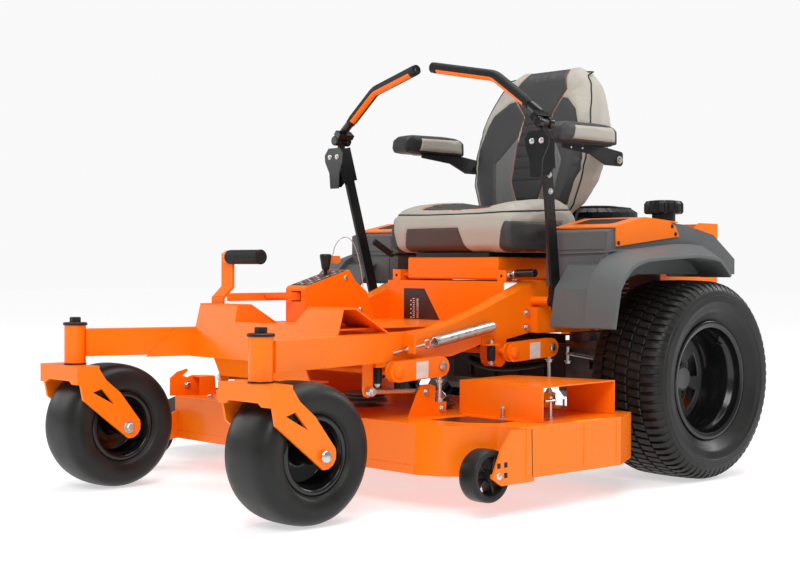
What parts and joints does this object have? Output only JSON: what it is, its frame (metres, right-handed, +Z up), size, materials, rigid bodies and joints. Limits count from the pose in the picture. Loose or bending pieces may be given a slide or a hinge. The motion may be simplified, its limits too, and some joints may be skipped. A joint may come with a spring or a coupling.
{
  "type": "zero-turn mower",
  "caption": "Ride-on mower with a seat behind two lap-bar levers, large rear drive wheels, front casters on a tube frame and a side-discharge cutting deck.",
  "frame": {"origin": "on the ground under the centre of the bounding box; the middle plane of the machine is x = 0.150 and the rear axle y = 0.469", "axes": "+Z up, -Y the way the machine drives forward, +X to the operator's left"},
  "size_m": [1.644, 1.9974, 1.2131],
  "materials": {
    "orange_paint": "gloss",
    "black_paint": "satin",
    "zinc_steel": "zinc plated",
    "tyre_rubber": "matte",
    "grey_plastic": "textured",
    "seat_vinyl": "grained vinyl",
    "cast_metal": "rough"
  },
  "bodies": {
    "frame": {"frame_rail_left": "orange_paint", "frame_rail_right": "orange_paint", "foot_platform": "orange_paint", "height_console": "orange_paint", "tower_panel": "orange_paint", "rear_frame": "orange_paint", "fender_left": "grey_plastic", "fender_right": "grey_plastic", "fender_console_left": "orange_paint", "fender_console_right": "orange_paint", "engine_block": "cast_metal", "hydro_drive_left": "cast_metal", "hydro_drive_right": "cast_metal", "lanyard_wire": "zinc_steel", "assist_spring_left": "zinc_steel", "assist_spring_right": "zinc_steel"},
    "fuel_cap_turn": {"fuel_cap": "black_paint"},
    "crank": {"crankshaft": "cast_metal"},
    "seat_tilt_frame": {"seat_base": "orange_paint"},
    "seat": {"seat_slide": "black_paint", "seat_cushion": "seat_vinyl", "seat_back": "seat_vinyl"},
    "armrest_l": {"armrest_left": "seat_vinyl"},
    "armrest_r": {"armrest_right": "seat_vinyl"},
    "seat_lever": {"seat_handle": "black_paint"},
    "deck": {"deck_shell": "orange_paint", "belt_cover_left": "orange_paint", "belt_cover_right": "orange_paint", "idler_spring": "zinc_steel"},
    "chute": {"discharge_chute": "black_paint"},
    "idler": {"idler_arm": "cast_metal"},
    "front_lift": {"front_lift_shaft": "orange_paint"},
    "rear_lift": {"rear_lift_shaft": "orange_paint"},
    "pedal": {"lift_pedal": "orange_paint"},
    "push_rod": {"pedal_rod": "orange_paint"},
    "pin": {"height_pin": "black_paint"},
    "rear_wheel_l": {"rear_rim_left": "black_paint", "rear_tyre_left": "tyre_rubber"},
    "caster_l": {"caster_fork_left": "orange_paint"},
    "caster_wheel_l": {"caster_rim_left": "black_paint", "caster_tyre_left": "tyre_rubber"},
    "lever_l": {"lever_lower_left": "black_paint"},
    "handle_l": {"lever_handle_left": "black_paint"},
    "drag_l": {"drag_link_left": "zinc_steel"},
    "scalp_l": {"scalp_wheel_left": "tyre_rubber"},
    "rear_wheel_r": {"rear_rim_right": "black_paint", "rear_tyre_right": "tyre_rubber"},
    "caster_r": {"caster_fork_right": "orange_paint"},
    "caster_wheel_r": {"caster_rim_right": "black_paint", "caster_tyre_right": "tyre_rubber"},
    "lever_r": {"lever_lower_right": "black_paint"},
    "handle_r": {"lever_handle_right": "black_paint"},
    "drag_r": {"drag_link_right": "zinc_steel"},
    "scalp_r": {"scalp_wheel_right": "tyre_rubber"},
    "cutter_left": {"spindle_left": "cast_metal", "blade_left": "zinc_steel"},
    "cutter_centre": {"spindle_centre": "cast_metal", "blade_centre": "zinc_steel"},
    "cutter_right": {"spindle_right": "cast_metal", "blade_right": "zinc_steel"}
  },
  "joints": [
    {"name": "rear_wheel_left_spin", "type": "hinge", "parent": "frame", "child": "rear_wheel_l", "pos_m": [0.675, 0.46875, 0.2794], "axis": [1, 0, 0], "continuous": true},
    {"name": "caster_left_swivel", "type": "hinge", "parent": "frame", "child": "caster_l", "pos_m": [0.55, -0.93925, 0.38], "axis": [0, 0, 1], "continuous": true},
    {"name": "caster_wheel_left_spin", "type": "hinge", "parent": "caster_l", "child": "caster_wheel_l", "pos_m": [0.55, -0.83375, 0.165], "axis": [1, 0, 0], "continuous": true},
    {"name": "lever_left_drive", "type": "hinge", "parent": "frame", "child": "lever_l", "pos_m": [0.519, 0.10275, 0.5], "axis": [1, 0, 0], "range_deg": [-8, 12]},
    {"name": "handle_left_swing", "type": "hinge", "parent": "lever_l", "child": "handle_l", "pos_m": [0.564, -0.00025, 0.98], "axis": [0, 1, 0], "range_deg": [0, 50]},
    {"name": "armrest_left_flip", "type": "hinge", "parent": "seat", "child": "armrest_l", "pos_m": [0.46, 0.47875, 0.912], "axis": [-1, 0, 0], "range_deg": [0, 85]},
    {"name": "drag_link_left_swing", "type": "hinge", "parent": "frame", "child": "drag_l", "pos_m": [0.4605, -0.52725, 0.281], "axis": [1, 0, 0], "range_deg": [-10.1, 7.8]},
    {"name": "rear_wheel_right_spin", "type": "hinge", "parent": "frame", "child": "rear_wheel_r", "pos_m": [-0.375, 0.46875, 0.2794], "axis": [1, 0, 0], "continuous": true},
    {"name": "caster_right_swivel", "type": "hinge", "parent": "frame", "child": "caster_r", "pos_m": [-0.25, -0.93925, 0.38], "axis": [0, 0, 1], "continuous": true},
    {"name": "caster_wheel_right_spin", "type": "hinge", "parent": "caster_r", "child": "caster_wheel_r", "pos_m": [-0.25, -0.83375, 0.165], "axis": [1, 0, 0], "continuous": true},
    {"name": "lever_right_drive", "type": "hinge", "parent": "frame", "child": "lever_r", "pos_m": [-0.219, 0.10275, 0.5], "axis": [1, 0, 0], "range_deg": [-8, 12]},
    {"name": "handle_right_swing", "type": "hinge", "parent": "lever_r", "child": "handle_r", "pos_m": [-0.264, -0.00025, 0.98], "axis": [0, -1, 0], "range_deg": [0, 50]},
    {"name": "armrest_right_flip", "type": "hinge", "parent": "seat", "child": "armrest_r", "pos_m": [-0.16, 0.47875, 0.912], "axis": [-1, 0, 0], "range_deg": [0, 85]},
    {"name": "drag_link_right_swing", "type": "hinge", "parent": "frame", "child": "drag_r", "pos_m": [-0.1605, -0.52725, 0.281], "axis": [1, 0, 0], "range_deg": [-10.1, 7.8]},
    {"name": "fuel_cap_twist", "type": "hinge", "parent": "frame", "child": "fuel_cap_turn", "pos_m": [0.555, 0.54375, 0.75], "axis": [0, 0, 1], "range_deg": [0, 90]},
    {"name": "crankshaft_spin", "type": "hinge", "parent": "frame", "child": "crank", "pos_m": [0.15, 0.73875, 0.5], "axis": [0, 0, 1], "continuous": true},
    {"name": "seat_tilt", "type": "hinge", "parent": "frame", "child": "seat_tilt_frame", "pos_m": [0.15, 0.07675, 0.569], "axis": [1, 0, 0], "range_deg": [0, 30]},
    {"name": "seat_slide_adjust", "type": "slide", "parent": "seat_tilt_frame", "child": "seat", "axis": [0, 1, 0], "range_m": [-0.05, 0.08]},
    {"name": "seat_handle_pull", "type": "hinge", "parent": "seat", "child": "seat_lever", "pos_m": [-0.008, 0.12375, 0.6285], "axis": [0, 0, -1], "range_deg": [0, 15], "stiffness_Nm_per_rad": 3},
    {"name": "deck_lift", "type": "slide", "parent": "frame", "child": "deck", "axis": [0, 0, 1], "range_m": [-0.035, 0.027]},
    {"name": "front_lift_turn", "type": "hinge", "parent": "frame", "child": "front_lift", "pos_m": [0.15, -0.46125, 0.3285], "axis": [1, 0, 0], "range_deg": [-13, 10.1]},
    {"name": "rear_lift_turn", "type": "hinge", "parent": "frame", "child": "rear_lift", "pos_m": [0.15, -0.03125, 0.363], "axis": [1, 0, 0], "range_deg": [-13, 10.1]},
    {"name": "pedal_push", "type": "hinge", "parent": "frame", "child": "pedal", "pos_m": [-0.112, -0.57625, 0.433], "axis": [1, 0, 0], "range_deg": [-11.7, 9.1]},
    {"name": "push_rod_travel", "type": "slide", "parent": "frame", "child": "push_rod", "axis": [0, 1, 0], "range_m": [-0.012, 0.0155]},
    {"name": "height_pin_lift", "type": "slide", "parent": "frame", "child": "pin", "axis": [0, 0, 1], "range_m": [0, 0.05]},
    {"name": "chute_raise", "type": "hinge", "parent": "deck", "child": "chute", "pos_m": [-0.526, -0.17625, 0.2095], "axis": [0, 1, 0], "range_deg": [0, 85]},
    {"name": "idler_swing", "type": "hinge", "parent": "deck", "child": "idler", "pos_m": [0.3, -0.09125, 0.2165], "axis": [0, 0, 1], "range_deg": [-8, 6], "stiffness_Nm_per_rad": 5},
    {"name": "spindle_left_spin", "type": "hinge", "parent": "deck", "child": "cutter_left", "pos_m": [0.5815, -0.10625, 0.17], "axis": [0, 0, 1], "continuous": true},
    {"name": "spindle_centre_spin", "type": "hinge", "parent": "deck", "child": "cutter_centre", "pos_m": [0.15, -0.26625, 0.17], "axis": [0, 0, 1], "continuous": true},
    {"name": "spindle_right_spin", "type": "hinge", "parent": "deck", "child": "cutter_right", "pos_m": [-0.2815, -0.10625, 0.17], "axis": [0, 0, 1], "continuous": true},
    {"name": "scalp_wheel_left_spin", "type": "hinge", "parent": "deck", "child": "scalp_l", "pos_m": [0.784, -0.45625, 0.1015], "axis": [1, 0, 0], "continuous": true},
    {"name": "scalp_wheel_right_spin", "type": "hinge", "parent": "deck", "child": "scalp_r", "pos_m": [-0.456, -0.56325, 0.1015], "axis": [1, 0, 0], "continuous": true}
  ],
  "couplings": [
    {"joint": "front_lift_turn", "follows": "deck_lift", "rad_per_m": 6.45},
    {"joint": "rear_lift_turn", "follows": "deck_lift", "rad_per_m": 6.45},
    {"joint": "drag_link_left_swing", "follows": "deck_lift", "rad_per_m": 5},
    {"joint": "drag_link_right_swing", "follows": "deck_lift", "rad_per_m": 5},
    {"joint": "pedal_push", "follows": "deck_lift", "rad_per_m": 5.8},
    {"joint": "push_rod_travel", "follows": "deck_lift", "ratio": -0.43},
    {"joint": "spindle_left_spin", "follows": "crankshaft_spin", "ratio": 1.115},
    {"joint": "spindle_centre_spin", "follows": "crankshaft_spin", "ratio": 1.115},
    {"joint": "spindle_right_spin", "follows": "crankshaft_spin", "ratio": 1.115}
  ]
}
